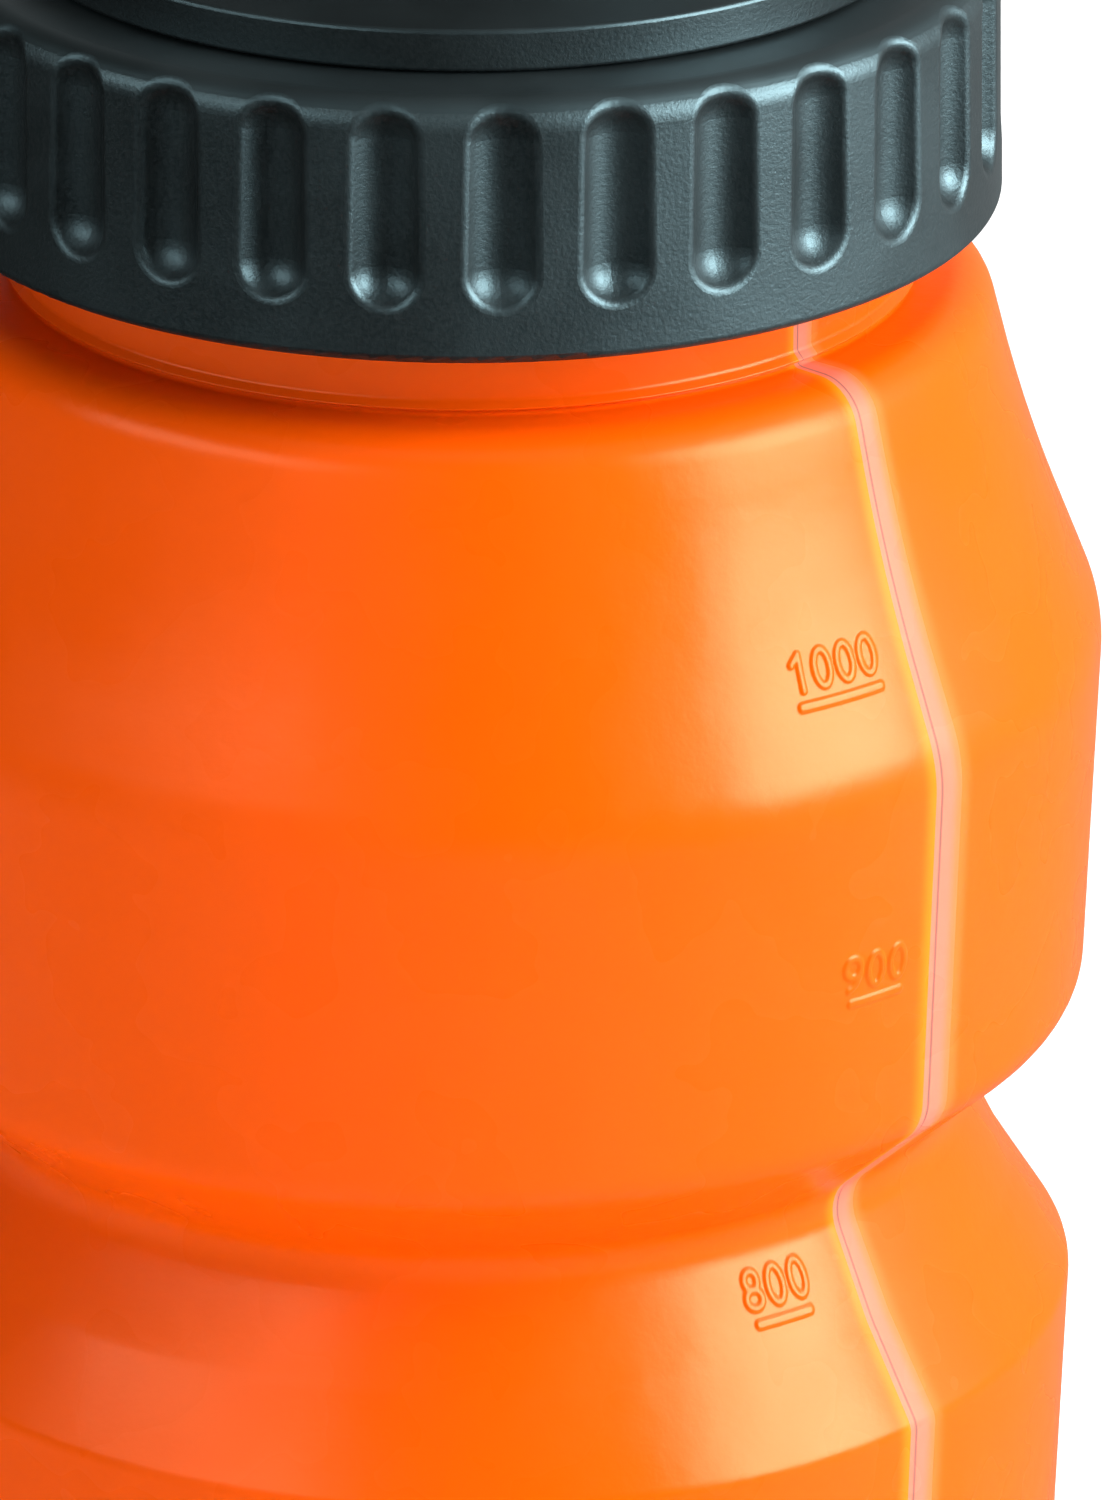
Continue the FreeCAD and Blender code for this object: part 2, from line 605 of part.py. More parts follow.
def make_cover(doc, s):
    """The dust cover: a short skirt, a brim and a tall crown over the valve."""
    cover = make_body(doc, "dust_cover", s["lid_seat"])
    wall = s["cover_wall"]
    crown_foot = (s["cover_crown_foot"], s["cover_crown_low"])
    crown_head = (s["cover_crown_head"], s["cover_crown_high"])
    inner_foot = (s["cover_crown_foot"] - wall, s["cover_crown_low"] - wall)
    inner_head = (s["cover_crown_head"] - wall, s["cover_crown_high"] - wall)
    points = [
        (s["cover_bore"], s["cover_low"]),
        (s["cover_skirt"], s["cover_low"]),
        (s["cover_skirt"], s["cover_brim"]),
        crown_foot,
        crown_head,
        (0, s["cover_top"]),
        (0, s["cover_top"] - wall),
        inner_head,
        inner_foot,
        (s["cover_bore"], s["cover_bore_top"]),
    ]
    solid = spin(cover, make_outline(cover, "cover_outline", points), "cover_solid")
    solid = round_rings(cover, solid, "crown_foot_rounding", s["cover_foot_round"], [crown_foot])
    solid = round_rings(cover, solid, "crown_head_rounding", s["cover_head_round"], [crown_head])
    solid = round_rings(cover, solid, "inner_head_rounding", s["cover_head_round"] - wall, [inner_head])
    edges = [(s["cover_skirt"], s["cover_brim"]), (s["cover_skirt"], s["cover_low"])]
    round_rings(cover, solid, "skirt_rounding", s["cover_edge_round"], edges)
    return cover


def export_pieces(doc, pieces):
    """Checks every object and every piece, then writes one STEP file for each piece."""
    for obj in doc.Objects:
        if "Invalid" in obj.State or "Error" in obj.State:
            raise RuntimeError(f"{obj.Label} failed: {obj.State}")
    for piece in pieces:
        if piece.Shape.isNull() or not piece.Shape.isValid():
            raise RuntimeError(f"{piece.Label} has no valid shape")
    os.makedirs("parts", exist_ok=True)
    for piece in pieces:
        piece.Shape.exportStep(os.path.join("parts", f"{piece.Label}.step"))
        print(f"{piece.Label}: {len(piece.Shape.Solids)} solid, {piece.Shape.Volume / 1000:.2f} cm3")


def main():
    doc = FreeCAD.newDocument("squeeze_bottle")
    s = make_sheet(doc)
    doc.recompute()
    pieces = make_bottle(doc, s)
    pieces += [
        make_lid(doc, s),
        make_gasket(doc, s),
        make_stem(doc, s),
        make_seal(doc, s),
        make_nozzle(doc, s),
        make_mouthpiece(doc, s),
        make_cover(doc, s),
    ]
    doc.recompute()
    export_pieces(doc, pieces)


main()
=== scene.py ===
"""Looks of the sports squeeze bottle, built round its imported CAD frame.

Shapes are worked out in millimetres in the row frame (the bottle's axis on Z, its clear stripe facing -Y)
and scaled to metres when a mesh is made. Azimuths are in degrees from -Y towards +X."""

import math

import bmesh
import bpy
import numpy as np
from mathutils import Matrix, Vector


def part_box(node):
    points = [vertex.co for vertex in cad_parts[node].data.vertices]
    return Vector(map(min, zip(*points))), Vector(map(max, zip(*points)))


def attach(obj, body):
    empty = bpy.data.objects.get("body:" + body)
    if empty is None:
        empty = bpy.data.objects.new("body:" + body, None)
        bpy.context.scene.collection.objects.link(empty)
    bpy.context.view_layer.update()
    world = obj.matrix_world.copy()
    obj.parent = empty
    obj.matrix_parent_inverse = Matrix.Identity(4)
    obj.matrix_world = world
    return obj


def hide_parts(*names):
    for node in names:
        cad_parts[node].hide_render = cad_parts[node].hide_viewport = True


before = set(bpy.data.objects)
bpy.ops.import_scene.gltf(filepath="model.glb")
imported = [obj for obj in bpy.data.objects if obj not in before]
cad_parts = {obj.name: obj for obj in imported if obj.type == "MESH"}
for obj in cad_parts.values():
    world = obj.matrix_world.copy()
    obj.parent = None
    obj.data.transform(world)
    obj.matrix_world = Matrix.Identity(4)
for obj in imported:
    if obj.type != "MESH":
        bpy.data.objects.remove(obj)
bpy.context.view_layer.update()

MM = 0.001
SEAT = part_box("lid")[0].z / MM
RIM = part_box("bottle_body")[1].z / MM
WALL = 1.2
NECK = 28.85
STRIPE_ANGLE = 3.4

# The body's outline: radius, height, rounding. The flank's heights are depths below the lid's edge.
BASE = [(0.0, 3.5, 0.0), (26.0, 3.5, 0.8), (30.5, 0.0, 0.9), (39.65, 0.0, 7.0)]
FLANK = [
    (39.65, 98.0, 0.0),
    (40.4, 74.7, 1.6),
    (36.4, 68.5, 8.0),
    (32.6, 61.0, 3.0),
    (40.8, 53.6, 3.8),
    (41.6, 28.9, 10.0),
    (36.5, 16.4, 100.0),
    (33.6, 5.3, 3.2),
    (NECK, 5.3, 0.4),
]
BEAD = [(NECK, 4.9, 0.1), (29.35, 4.9, 0.1), (29.35, 4.75, 0.1), (NECK, 4.31, 0.4)]

THREAD_START, THREAD_PITCH, THREAD_TURNS, THREAD_HEIGHT = 2.2, 4.2, 1.5, 1.9
THREAD_CREST, THREAD_ROOT = 0.5, 1.0
THREAD_RUN_OUT = 5.0
THREAD_TOP, THREAD_STEP = 12.0, 0.4

# Moulded level marks: a rounded bar with its volume in millilitres over it.
MARK_VOLUMES = range(100, 1001, 100)
MARK_END = {1000: -5.3, 900: -4.95, 800: -7.9}
MARK_END_ELSEWHERE = -5.6
BAR_LENGTH = {3: 4.7, 4: 6.9}
BAR_HALF, BAR_CORE, BAR_FOOT = 0.33, 0.18, 0.38
STROKE_CORE, STROKE_FOOT = 0.11, 0.31
LAST_DIGIT = {3: 0.6, 4: 0.85}
DIGIT_WIDTH, DIGIT_HEIGHT, DIGIT_STEP = 1.2, 2.15, 1.84
DIGIT_FOOT = 0.93
RELIEF = 0.12
MARK_LEFT, MARK_RIGHT = -19.0, -3.4
MARK_BELOW, MARK_ABOVE = 0.8, 3.7
MARK_CUTS, MARK_LEVELS = 7, 6

# Fineness of the body's mesh: points round the orange and the stripe, longest side, arc step in millimetres.
BODY_POINTS, STRIPE_POINTS = 357, 5
OUTER_LONGEST, INNER_LONGEST = 8.0, 12.0
OUTER_ARC_STEP, INNER_ARC_STEP = 0.5, 0.8

# The camera's angles in degrees, and its place in millimetres right of, below and back from the middle of
# the lid's lower edge, along its own axes.
VIEW_AZIMUTH = -48.15
VIEW_PITCH = 22.12
VIEW_ROLL = -0.357
CAMERA_RIGHT, CAMERA_DOWN, CAMERA_BACK = 6.0476, 36.4607, 766.6812
CAMERA_LENS, CAMERA_SENSOR = 288.0, 36.0

# Linear colours of the blown plastics. Widths and the dark line's azimuth are in degrees.
ORANGE_DEEP, ORANGE_PALE, ORANGE_GLOW = (0.845, 0.087, 0.0003), (0.860, 0.089, 0.0004), (1.0, 0.30, 0.005)
STRIPE_ROSE, STRIPE_LINE, STRIPE_GLOW = (0.75, 0.18, 0.115), (0.22, 0.11, 0.09), (1.0, 0.55, 0.40)
STRIPE_FADE, BAND_YELLOW, FADE_ORANGE = (0.80, 0.17, 0.05), (0.92, 0.17, 0.004), (0.84, 0.13, 0.02)
WARM_TINT = (1.0, 0.75, 0.45)
BAND_WIDTH, FADE_WIDTH = 1.8, 1.9
LINE_ANGLE = -0.95

# Moulded parts by CAD node: material, linear colour, roughness, specular level, how much the colour varies,
# depth of the grain in millimetres, tint of the highlights, height at which the grain ends.
SLATE_TINT, NO_TINT = (0.55, 0.90, 1.0), (1.0, 1.0, 1.0)
MOULDED = {
    "lid": ("lid_plastic", (0.0072, 0.0074, 0.0070), 0.47, 0.8, 0.4, 0.03, SLATE_TINT, SEAT + 16.2),
    "dust_cover": ("cover_plastic", (0.0066, 0.0070, 0.0068), 0.42, 0.6, 0.3, 0.03, SLATE_TINT, SEAT + 19.6),
    "nozzle": ("nozzle_plastic", (0.0100, 0.0125, 0.0130), 0.40, 0.6, 0.2, 0.02, SLATE_TINT, None),
    "mouthpiece": ("mouth_rubber", (0.045, 0.052, 0.055), 0.62, 0.3, 0.1, 0.01, NO_TINT, None),
    "nozzle_seal": ("seal_rubber", (0.012, 0.012, 0.012), 0.45, 0.4, 0.3, 0.02, NO_TINT, None),
    "valve_stem": ("valve_plastic", (0.78, 0.78, 0.75), 0.35, 0.5, 0.02, 0.01, NO_TINT, None),
    "lid_gasket": ("gasket_silicone", (0.74, 0.73, 0.69), 0.55, 0.4, 0.03, 0.01, NO_TINT, None),
}

# Lights, all aimed at AIM: azimuth right of the camera's, elevation, distance, width and height in metres,
# watts, whether it lights matt surfaces, whether it shows in reflections.
AIM = (0.0, 0.0, 0.2)
LIGHTS = {
    "key": (68, 24, 0.9, 0.55, 0.60, 13.0, True, True),
    "side": (95, 20, 0.9, 0.55, 0.60, 9.0, True, False),
    "gleam": (68, 20, 0.9, 0.55, 0.50, 18.0, False, True),
    "front": (-35, 15, 1.6, 1.60, 1.20, 10.0, True, False),
    "left": (-56, 30, 0.9, 0.90, 0.26, 5.0, False, True),
    "top": (0, 80, 0.9, 0.80, 0.80, 0.5, True, True),
    "floor_wash": (90, 80, 2.0, 3.00, 3.00, 50.0, True, False),
}

# The world brightens towards an azimuth right of the camera's: cosine of the angle to it, and brightness.
WORLD_AZIMUTH = 130
WORLD_DARK, WORLD_BRIGHT = (-0.05, 0.02), (0.7, 1.5)
WORLD_IN_REFLECTIONS = 0.3
FLOOR_HALF = 6.0


# ---------------------------------------------------------------- outlines


def unit(vector):
    return vector / np.linalg.norm(vector)


def rounded(corners, arc_step):
    """A line of (radius, height) points through corners (radius, height, rounding), with true arcs."""
    line = []
    for index, (x, z, radius) in enumerate(corners):
        here = np.array((x, z), float)
        if radius == 0 or index in (0, len(corners) - 1):
            line.append(here)
            continue
        back = unit(np.array(corners[index - 1][:2]) - here)
        on = unit(np.array(corners[index + 1][:2]) - here)
        turn = math.pi - math.acos(np.clip(back @ on, -1, 1))
        start = here + back * radius * math.tan(turn / 2)
        centre = here + unit(back + on) * radius / math.cos(turn / 2)
        side = 1 if back[0] * on[1] - back[1] * on[0] < 0 else -1
        pieces = max(3, math.ceil(radius * turn / arc_step))
        for piece in range(pieces + 1):
            angle = side * turn * piece / pieces
            cos, sin = math.cos(angle), math.sin(angle)
            arm = start - centre
            line.append(centre + np.array((arm[0] * cos - arm[1] * sin, arm[0] * sin + arm[1] * cos)))
    return np.array(line)


def inset(corners, wall):
    """The same corners moved left of the outline's direction by a wall, with their roundings."""
    points = [np.array(c[:2], float) for c in corners]
    sides = [unit(b - a) for a, b in zip(points, points[1:])]
    lefts = [np.array((-d[1], d[0])) for d in sides]
    moved = [(*(points[0] + lefts[0] * wall), 0.0)]
    for index in range(1, len(points) - 1):
        before, after = lefts[index - 1], lefts[index]
        shift = (before + after) * wall / (1 + before @ after)
        turn = sides[index - 1][0] * sides[index][1] - sides[index - 1][1] * sides[index][0]
        radius = corners[index][2] - wall if turn > 0 else corners[index][2] + wall
        moved.append((*(points[index] + shift), max(radius, 0.3)))
    moved.append((*(points[-1] + lefts[-1] * wall), 0.0))
    return moved


def fill(line, longest):
    """The line with points added so that no side is longer than longest."""
    out = [line[0]]
    for a, b in zip(line, line[1:]):
        pieces = max(1, math.ceil(np.linalg.norm(b - a) / longest))
        out += [a + (b - a) * k / pieces for k in range(1, pieces + 1)]
    return np.array(out)


def add_levels(line, levels):
    """The line with a point added at each level that its rising sides cross."""
    out = [line[0]]
    for a, b in zip(line, line[1:]):
        inside = [z for z in levels if a[1] + 0.05 < z < b[1] - 0.05]
        out += [a + (b - a) * (z - a[1]) / (b[1] - a[1]) for z in sorted(inside)]
        out.append(b)
    return np.array(out)


flank = [(r, SEAT - drop, rounding) for r, drop, rounding in FLANK]
bead = [(r, SEAT - drop, rounding) for r, drop, rounding in BEAD]
outer_corners = BASE + flank + bead + [(NECK, RIM, 0.0)]
inner_line = rounded(inset(BASE + flank + [(NECK, RIM, 0.0)], WALL), INNER_ARC_STEP)
fine_line = rounded(outer_corners, 0.02)
fine_line = fine_line[fine_line[:, 1] > BASE[-1][2]]


def wall_radius(z):
    """Radius of the body's outer side above its base rounding."""
    return np.interp(z, fine_line[:, 1], fine_line[:, 0])


def height_of(volume):
    """Height of the surface of a volume in millilitres inside the body."""
    line = fill(inner_line, 0.5)
    (r0, z0), (r1, z1) = line[:-1].T, line[1:].T
    slices = math.pi * (r0 * r0 + r0 * r1 + r1 * r1) / 3 * (z1 - z0) / 1000
    held = np.concatenate(([0.0], slices.cumsum()))
    lowest = held.argmin()
    return float(np.interp(volume, held[lowest:], line[lowest:, 1]))


# ---------------------------------------------------------------- level marks


def oval(x, y, half_width, half_height, start=0.0, end=360.0):
    """Points along an oval in a digit's unit cell, by angle from +x."""
    angles = np.radians(np.linspace(start, end, max(4, int(abs(end - start) / 12))))
    return [(x + half_width * math.cos(a), y + half_height * math.sin(a)) for a in angles]


def digit_strokes(digit):
    """A digit as lines of points in a cell one wide and one high."""
    strokes = {
        "0": [oval(0.5, 0.5, 0.5, 0.5)],
        "1": [[(0.12, 0.74), (0.62, 1.0), (0.62, 0.0)]],
        "2": [oval(0.5, 0.71, 0.5, 0.29, 170, -35) + [(0.0, 0.0), (1.0, 0.0)]],
        "3": [oval(0.48, 0.75, 0.44, 0.25, 150, -90), oval(0.48, 0.25, 0.5, 0.25, 90, -150)],
        "4": [[(1.0, 0.28), (0.0, 0.28), (0.72, 1.0), (0.72, 0.0)]],
        "5": [[(0.92, 1.0), (0.16, 1.0), (0.1, 0.55)] + oval(0.46, 0.31, 0.5, 0.31, 125, -150)],
        "6": [oval(0.5, 0.3, 0.5, 0.3), oval(0.9, 0.3, 0.9, 0.7, 180, 100)],
        "7": [[(0.0, 1.0), (1.0, 1.0), (0.38, 0.0)]],
        "8": [oval(0.5, 0.75, 0.42, 0.25), oval(0.5, 0.25, 0.5, 0.25)],
        "9": [oval(0.5, 0.7, 0.5, 0.3), oval(0.1, 0.7, 0.9, 0.7, 0, -80)],
    }
    return strokes[digit]


def distance_to(lines, points):
    """Shortest distance from each point to any of the lines."""
    best = np.full(len(points), 1e9)
    for line in lines:
        for a, b in zip(np.array(line[:-1], float), np.array(line[1:], float)):
            along = b - a
            share = np.clip((points - a) @ along / (along @ along), 0, 1)
            best = np.minimum(best, np.linalg.norm(points - a - share[:, None] * along, axis=1))
    return best


def raised(distance, core, foot):
    """A ridge's height by distance from its middle: full within core, nothing beyond foot."""
    share = np.clip((foot - distance) / (foot - core), 0, 1)
    return RELIEF * share * share * (3 - 2 * share)


class Mark:
    """One level mark: a bar at the level, with its number over it."""

    def __init__(self, volume):
        text = str(volume)
        count = len(text)
        self.middle = height_of(volume)
        self.end = MARK_END.get(volume, MARK_END_ELSEWHERE)
        self.radius = float(wall_radius(self.middle))
        self.bar = [[(-BAR_LENGTH[count] + BAR_HALF, 0.0), (-BAR_HALF, 0.0)]]
        self.strokes = []
        for place, digit in enumerate(text):
            left = -LAST_DIGIT[count] - (count - 1 - place) * DIGIT_STEP - DIGIT_WIDTH / 2
            for stroke in digit_strokes(digit):
                line = [(left + x * DIGIT_WIDTH, DIGIT_FOOT + y * DIGIT_HEIGHT) for x, y in stroke]
                self.strokes.append(line)

    def holds(self, z):
        return self.middle - MARK_BELOW < z < self.middle + MARK_ABOVE

    def relief(self, azimuth, z):
        """Height of the mark over the wall at each azimuth and height."""
        along = np.radians(azimuth - self.end) * self.radius
        points = np.stack((along, z - self.middle), axis=1)
        bar = raised(distance_to(self.bar, points), BAR_CORE, BAR_FOOT)
        number = raised(distance_to(self.strokes, points), STROKE_CORE, STROKE_FOOT)
        return np.maximum(bar, number)


# ---------------------------------------------------------------- meshes


def thread(azimuth, z):
    """Height of the neck's thread over its wall. It climbs to the right from +X."""
    height = np.zeros(np.broadcast(azimuth, z).shape)
    for lap in (0, 360):
        angle = (azimuth - 90) % 360 + lap
        middle = SEAT + THREAD_START + THREAD_PITCH * angle / 360
        side = np.clip((THREAD_ROOT - abs(z - middle)) / (THREAD_ROOT - THREAD_CREST), 0, 1)
        to_end = np.minimum(angle, THREAD_TURNS * 360 - angle)
        ends = np.clip(to_end / THREAD_RUN_OUT, 0, 1)
        height = np.maximum(height, THREAD_HEIGHT * side * ends)
    return height


def shell_sector(outer, inner, azimuths):
    """A closed bmesh between two lines from the axis to the rim, over a range of azimuths."""
    line = np.concatenate((outer, inner[::-1]))
    angle, radius = np.radians(azimuths)[None, :], np.repeat(line[:, :1], len(azimuths), axis=1)
    height = np.repeat(line[:, 1:], len(azimuths), axis=1)
    walls = len(outer)
    radius[:walls] += thread(azimuths[None, :], height[:walls]) * (radius[:walls] > 1)
    mesh = bmesh.new()
    grid = [
        [mesh.verts.new(co) for co in zip(row_x, row_y, row_z)]
        for row_x, row_y, row_z in zip(radius * np.sin(angle), -radius * np.cos(angle), height)
    ]
    for low, high in zip(grid, grid[1:]):
        for k in range(len(azimuths) - 1):
            mesh.faces.new((low[k], low[k + 1], high[k + 1], high[k]))
    mesh.faces.new([row[0] for row in grid])
    mesh.faces.new([row[-1] for row in grid][::-1])
    bmesh.ops.remove_doubles(mesh, verts=mesh.verts, dist=1e-4)
    bmesh.ops.recalc_face_normals(mesh, faces=mesh.faces)
    return mesh


def azimuth_of(point):
    return math.degrees(math.atan2(point[0], -point[1]))


def emboss(mesh, mark):
    """Divides the outer faces round a mark finely and lifts them by its relief."""
    edges = set()
    for face in mesh.faces:
        middle = face.calc_center_median()
        on_wall = middle.xy.length > wall_radius(middle.z) - WALL / 2
        if on_wall and mark.holds(middle.z) and MARK_LEFT < azimuth_of(middle) < MARK_RIGHT:
            edges.update(face.edges)
    bmesh.ops.subdivide_edges(mesh, edges=list(edges), cuts=MARK_CUTS, use_grid_fill=True)
    margin = 0.1
    verts = [
        v
        for v in mesh.verts
        if mark.middle - MARK_BELOW - 1 < v.co.z < mark.middle + MARK_ABOVE + 1
        and MARK_LEFT - 1 < azimuth_of(v.co) < MARK_RIGHT + 1
        and v.co.xy.length > wall_radius(v.co.z) - margin
    ]
    azimuths = np.array([azimuth_of(v.co) for v in verts])
    heights = np.array([v.co.z for v in verts])
    radii = wall_radius(heights) + mark.relief(azimuths, heights)
    for vert, azimuth, radius in zip(verts, np.radians(azimuths), radii):
        vert.co.x, vert.co.y = radius * math.sin(azimuth), -radius * math.cos(azimuth)


def to_object(mesh, name, material, sharp=40.0):
    """A smooth-shaded object, in metres, from a bmesh in millimetres."""
    bmesh.ops.scale(mesh, vec=(MM, MM, MM), verts=mesh.verts)
    data = bpy.data.meshes.new(name)
    mesh.to_mesh(data)
    mesh.free()
    data.shade_smooth()
    data.set_sharp_from_angle(angle=math.radians(sharp))
    data.materials.append(material)
    piece = bpy.data.objects.new(name, data)
    bpy.context.scene.collection.objects.link(piece)
    return piece


def make_bottle(body_look, stripe_look):
    """The blown body with its level marks, and the clear stripe in its wall."""
    marks = [Mark(volume) for volume in MARK_VOLUMES]
    levels = [m.middle + z for m in marks for z in np.linspace(-MARK_BELOW, MARK_ABOVE, MARK_LEVELS)]
    levels += list(np.arange(SEAT + THREAD_STEP, SEAT + THREAD_TOP, THREAD_STEP))
    outer = add_levels(fill(rounded(outer_corners, OUTER_ARC_STEP), OUTER_LONGEST), levels)
    inner = fill(inner_line, INNER_LONGEST)
    half = STRIPE_ANGLE / 2
    body = shell_sector(outer, inner, np.linspace(half, 360 - half, BODY_POINTS))
    for mark in marks:
        emboss(body, mark)
    body = to_object(body, "bottle_shell", body_look)
    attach(body, "bottle")
    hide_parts("bottle_body")
    stripe = shell_sector(outer, inner, np.linspace(-half, half, STRIPE_POINTS))
    stripe = to_object(stripe, "stripe_shell", stripe_look)
    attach(stripe, "bottle")
    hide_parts("view_stripe")


# ---------------------------------------------------------------- materials


class Look:
    """A material or world under construction: add() makes a node, and links or sets its inputs.

    A tuple is a linear colour."""

    def __init__(self, owner):
        self.owner = owner
        owner.use_nodes = True
        self.tree = owner.node_tree
        self.tree.nodes.clear()

    def add(self, kind, inputs=None, **settings):
        node = self.tree.nodes.new(kind)
        for key, value in settings.items():
            setattr(node, key, value)
        for key, value in (inputs or {}).items():
            if isinstance(value, bpy.types.NodeSocket):
                self.tree.links.new(value, node.inputs[key])
            elif isinstance(value, tuple):
                node.inputs[key].default_value = (*value, 1.0)
            else:
                node.inputs[key].default_value = value
        return node

    def math(self, operation, first, second=0.0):
        return self.add("ShaderNodeMath", {0: first, 1: second}, operation=operation).outputs[0]

    def mix(self, share, first, second):
        return self.add("ShaderNodeMix", {0: share, 6: first, 7: second}, data_type="RGBA").outputs[2]

    def place(self):
        return self.add("ShaderNodeTexCoord").outputs["Object"]

    def noise(self, size, detail=2.0, rough=0.5):
        """Noise whose features are about size millimetres."""
        node = self.add(
            "ShaderNodeTexNoise",
            {"Vector": self.place(), "Scale": 1 / (size * MM), "Detail": detail, "Roughness": rough},
        )
        return node.outputs["Fac"]

    def ramp(self, value, low, high, out_low=0.0, out_high=1.0):
        node = self.add(
            "ShaderNodeMapRange",
            {0: value, 1: low, 2: high, 3: out_low, 4: out_high},
            interpolation_type="SMOOTHSTEP",
        )
        return node.outputs[0]

    def bump(self, height, depth, normal=None):
        """Bumps of a depth in millimetres."""
        inputs = {"Height": height, "Strength": 1.0, "Distance": depth * MM}
        if normal is not None:
            inputs["Normal"] = normal
        return self.add("ShaderNodeBump", inputs).outputs[0]

    def finish(self, shader):
        self.add("ShaderNodeOutputMaterial", {"Surface": shader})
        return self.owner


def new_look(name):
    return Look(bpy.data.materials.new(name))


def azimuth_value(look):
    """The azimuth in degrees, which is 0 in the middle of the stripe."""
    x, y, _ = look.add("ShaderNodeSeparateXYZ", {0: look.place()}).outputs
    angle = look.math("ARCTAN2", x, look.math("MULTIPLY", y, -1.0))
    return look.math("MULTIPLY", angle, 180 / math.pi)


def blown_plastic(look, colour, glow_colour, glow_share):
    """Blow-moulded polyethylene: a satin skin with orange peel, through which some light passes."""
    peel = look.bump(look.noise(3.0, 2.0), 0.04)
    peel = look.bump(look.noise(0.5, 2.0, 0.6), 0.01, peel)
    solid = look.add(
        "ShaderNodeBsdfPrincipled",
        {
            "Base Color": colour,
            "Roughness": look.ramp(look.noise(9.0), 0.3, 0.7, 0.24, 0.32),
            "Specular IOR Level": 0.2,
            "Specular Tint": WARM_TINT,
            "Normal": peel,
        },
    )
    glow = look.add("ShaderNodeBsdfTranslucent", {"Color": glow_colour, "Normal": peel})
    both = look.add("ShaderNodeMixShader", {0: glow_share, 1: solid.outputs[0], 2: glow.outputs[0]})
    return look.finish(both.outputs[0])


def orange_look():
    """Orange, with a yellower band before the stripe and a paler one after it."""
    look = new_look("orange_polyethylene")
    colour = look.mix(look.noise(22.0, 3.0), ORANGE_DEEP, ORANGE_PALE)
    angle = azimuth_value(look)
    edge = STRIPE_ANGLE / 2
    band = look.math("MULTIPLY", look.ramp(angle, -edge - BAND_WIDTH, -edge), look.ramp(angle, 0, 0.1, 1, 0))
    fade = look.math("MULTIPLY", look.ramp(angle, edge, edge + FADE_WIDTH, 1, 0), look.ramp(angle, 0, 0.1))
    colour = look.mix(band, colour, BAND_YELLOW)
    colour = look.mix(fade, colour, FADE_ORANGE)
    return blown_plastic(look, colour, ORANGE_GLOW, 0.16)


def stripe_look():
    """Rosy, turning to orange on one side, with a thin dark line along it."""
    look = new_look("clear_polyethylene")
    angle = azimuth_value(look)
    colour = look.mix(look.ramp(angle, 0.1, STRIPE_ANGLE / 2), STRIPE_ROSE, STRIPE_FADE)
    off_line = look.math("ABSOLUTE", look.math("SUBTRACT", angle, LINE_ANGLE))
    colour = look.mix(look.ramp(off_line, 0.06, 0.2, 1.0, 0.0), colour, STRIPE_LINE)
    return blown_plastic(look, colour, STRIPE_GLOW, 0.25)


def moulded(name, colour, roughness, specular, flecks, grain, tint, grain_top):
    """Injection-moulded plastic or rubber with a fine spark-eroded grain, smooth above grain_top."""
    look = new_look(name)
    fine = look.noise(0.28, 2.0, 0.6)
    patch = look.noise(8.0, 3.0)
    if grain_top is not None:
        height = look.add("ShaderNodeSeparateXYZ", {0: look.place()}).outputs[2]
        mask = look.ramp(height, (grain_top - 0.2) * MM, grain_top * MM, 1.0, 0.0)
        fine = look.math("MULTIPLY", fine, mask)
    pale = tuple(min(1.0, c * (1 + flecks)) for c in colour)
    dark = tuple(c * (1 - flecks) for c in colour)
    tone = look.mix(look.ramp(fine, 0.3, 0.7), dark, pale)
    tone = look.mix(look.ramp(patch, 0.4, 0.7, 0.0, 0.35), tone, pale)
    solid = look.add(
        "ShaderNodeBsdfPrincipled",
        {
            "Base Color": tone,
            "Roughness": look.ramp(patch, 0.3, 0.7, roughness - 0.04, roughness + 0.04),
            "Specular IOR Level": specular,
            "Specular Tint": tint,
            "Normal": look.bump(fine, grain),
        },
    )
    return look.finish(solid.outputs[0])


make_bottle(orange_look(), stripe_look())
for node, settings in MOULDED.items():
    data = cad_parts[node].data
    data.materials.clear()
    data.materials.append(moulded(*settings))


# ---------------------------------------------------------------- stage


def turned(vector, degrees):
    """A vector turned about Z."""
    return Matrix.Rotation(math.radians(degrees), 3, "Z") @ Vector(vector)


def seen_from(azimuth, elevation, distance):
    """A point seen from AIM at an azimuth right of the camera's own."""
    side = math.radians(azimuth + VIEW_AZIMUTH)
    rise = math.radians(elevation)
    out = Vector((math.sin(side) * math.cos(rise), -math.cos(side) * math.cos(rise), math.sin(rise)))
    return Vector(AIM) + out * distance


def soft_light(name, azimuth, elevation, distance, width, height, power, lit, mirrored):
    """A rectangular light, which can be left out of the diffuse light or out of reflections."""
    data = bpy.data.lights.new(name, "AREA")
    data.shape = "RECTANGLE"
    data.size, data.size_y = width, height
    data.energy = power
    light = bpy.data.objects.new(name, data)
    bpy.context.scene.collection.objects.link(light)
    light.location = seen_from(azimuth, elevation, distance)
    light.rotation_mode = "QUATERNION"
    light.rotation_quaternion = (light.location - Vector(AIM)).to_track_quat("Z", "Y")
    light.visible_camera = False
    light.visible_diffuse, light.visible_glossy = lit, mirrored


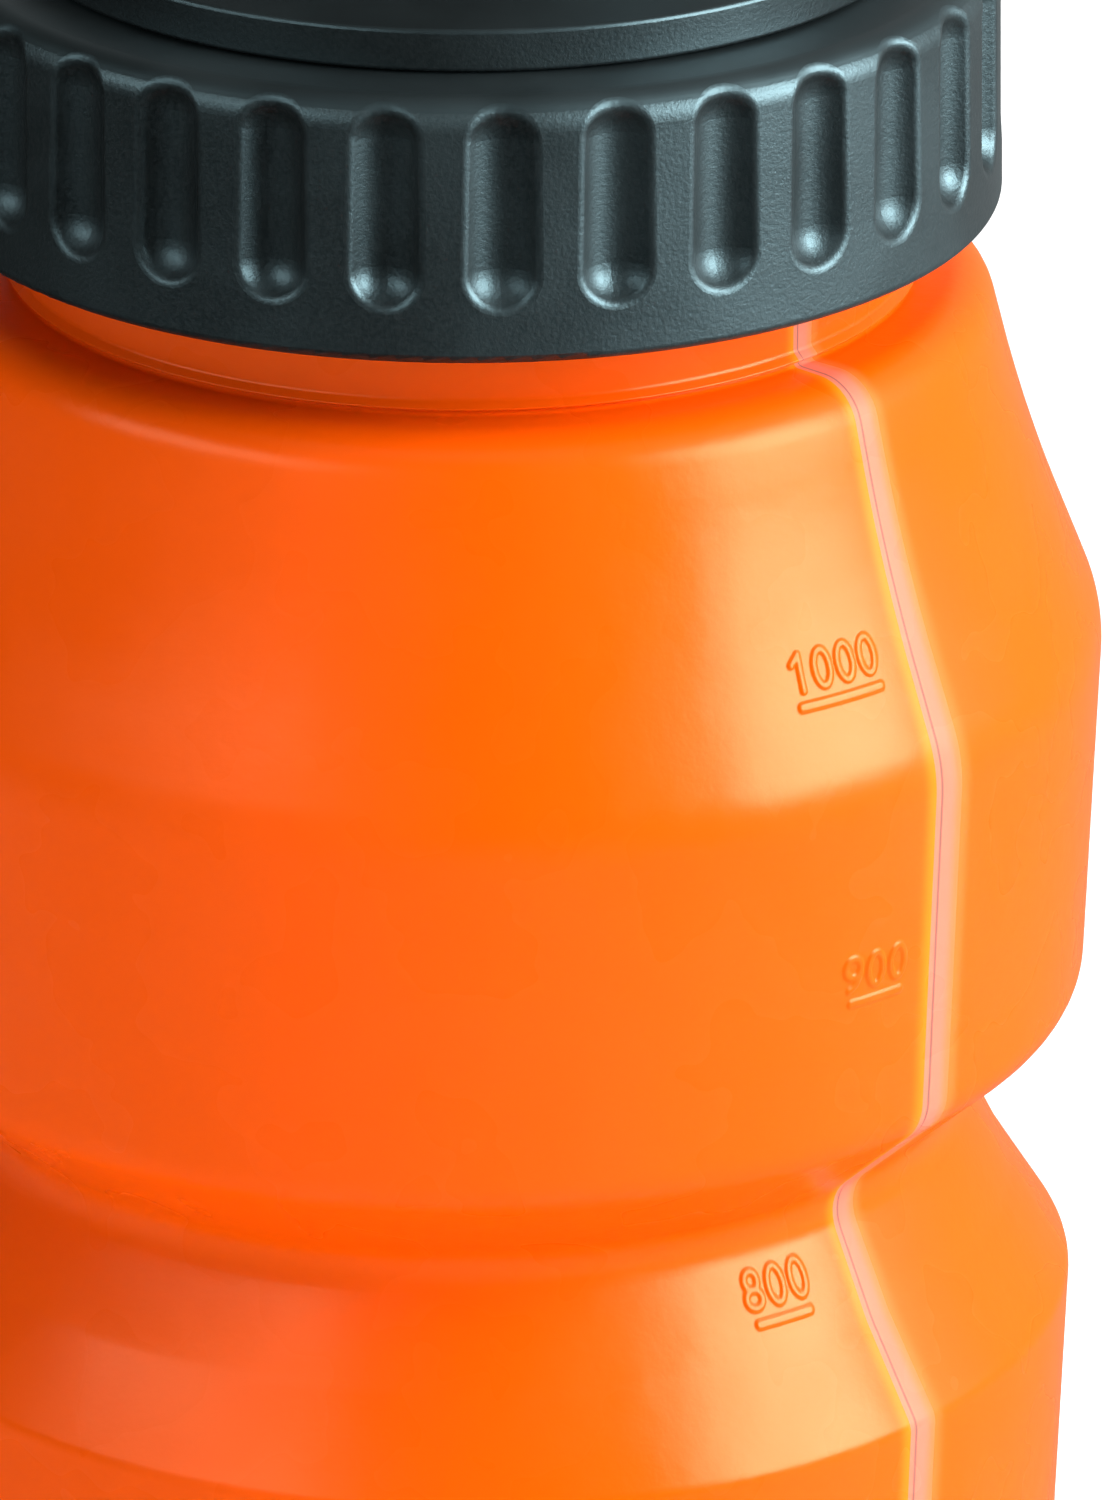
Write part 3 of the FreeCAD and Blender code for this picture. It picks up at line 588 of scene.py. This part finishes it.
def make_world():
    """A studio that brightens towards one side, is dimmer in reflections and is white to the camera."""
    world = bpy.data.worlds.new("studio")
    bpy.context.scene.world = world
    look = Look(world)
    place = look.add("ShaderNodeTexCoord").outputs["Generated"]
    towards = turned((0, -1, 0), WORLD_AZIMUTH + VIEW_AZIMUTH)
    dot = look.add("ShaderNodeVectorMath", {0: place, 1: towards}, operation="DOT_PRODUCT").outputs["Value"]
    rays = look.add("ShaderNodeLightPath").outputs
    light = look.ramp(dot, WORLD_DARK[0], WORLD_BRIGHT[0], WORLD_DARK[1], WORLD_BRIGHT[1])
    share = look.ramp(rays["Is Glossy Ray"], 0, 1, 1.0, WORLD_IN_REFLECTIONS)
    light = look.math("MAXIMUM", look.math("MULTIPLY", light, share), rays["Is Camera Ray"])
    sky = look.add("ShaderNodeBackground", {"Strength": light})
    look.add("ShaderNodeOutputWorld", {"Surface": sky.outputs[0]})


def make_floor():
    mesh = bpy.data.meshes.new("floor")
    corners = [(x * FLOOR_HALF, y * FLOOR_HALF, 0) for x, y in ((-1, -1), (1, -1), (1, 1), (-1, 1))]
    mesh.from_pydata(corners, [], [(0, 1, 2, 3)])
    floor = bpy.data.objects.new("floor", mesh)
    bpy.context.scene.collection.objects.link(floor)
    look = new_look("floor_paper")
    tone = look.mix(look.noise(60.0, 3.0), (0.90, 0.90, 0.90), (0.93, 0.93, 0.93))
    matt = look.add("ShaderNodeBsdfDiffuse", {"Color": tone})
    mesh.materials.append(look.finish(matt.outputs[0]))
    floor.visible_glossy = False


def make_camera():
    """A long lens that looks down at the upper half of the bottle."""
    data = bpy.data.cameras.new("camera")
    data.sensor_fit = "AUTO"
    data.sensor_width = CAMERA_SENSOR
    data.lens = CAMERA_LENS
    data.clip_start, data.clip_end = 0.01, 50.0
    camera = bpy.data.objects.new("camera", data)
    bpy.context.scene.collection.objects.link(camera)
    pitch, roll = math.radians(VIEW_PITCH), math.radians(VIEW_ROLL)
    forward = Vector((0, math.cos(pitch), -math.sin(pitch)))
    right = Vector((1, 0, 0))
    up = Vector((0, math.sin(pitch), math.cos(pitch)))
    spot = (right * CAMERA_RIGHT - up * CAMERA_DOWN - forward * CAMERA_BACK) * MM
    spot += Vector((0, 0, SEAT * MM))
    axis_x = right * math.cos(roll) - up * math.sin(roll)
    axis_y = right * math.sin(roll) + up * math.cos(roll)
    basis = Matrix((axis_x, axis_y, -forward)).transposed()
    turn = Matrix.Rotation(math.radians(VIEW_AZIMUTH), 3, "Z")
    camera.matrix_world = Matrix.Translation(turn @ spot) @ (turn @ basis).to_4x4()
    bpy.context.scene.camera = camera


make_world()
make_floor()
for name, settings in LIGHTS.items():
    soft_light(name, *settings)
make_camera()
bpy.context.scene.view_settings.view_transform = "Standard"
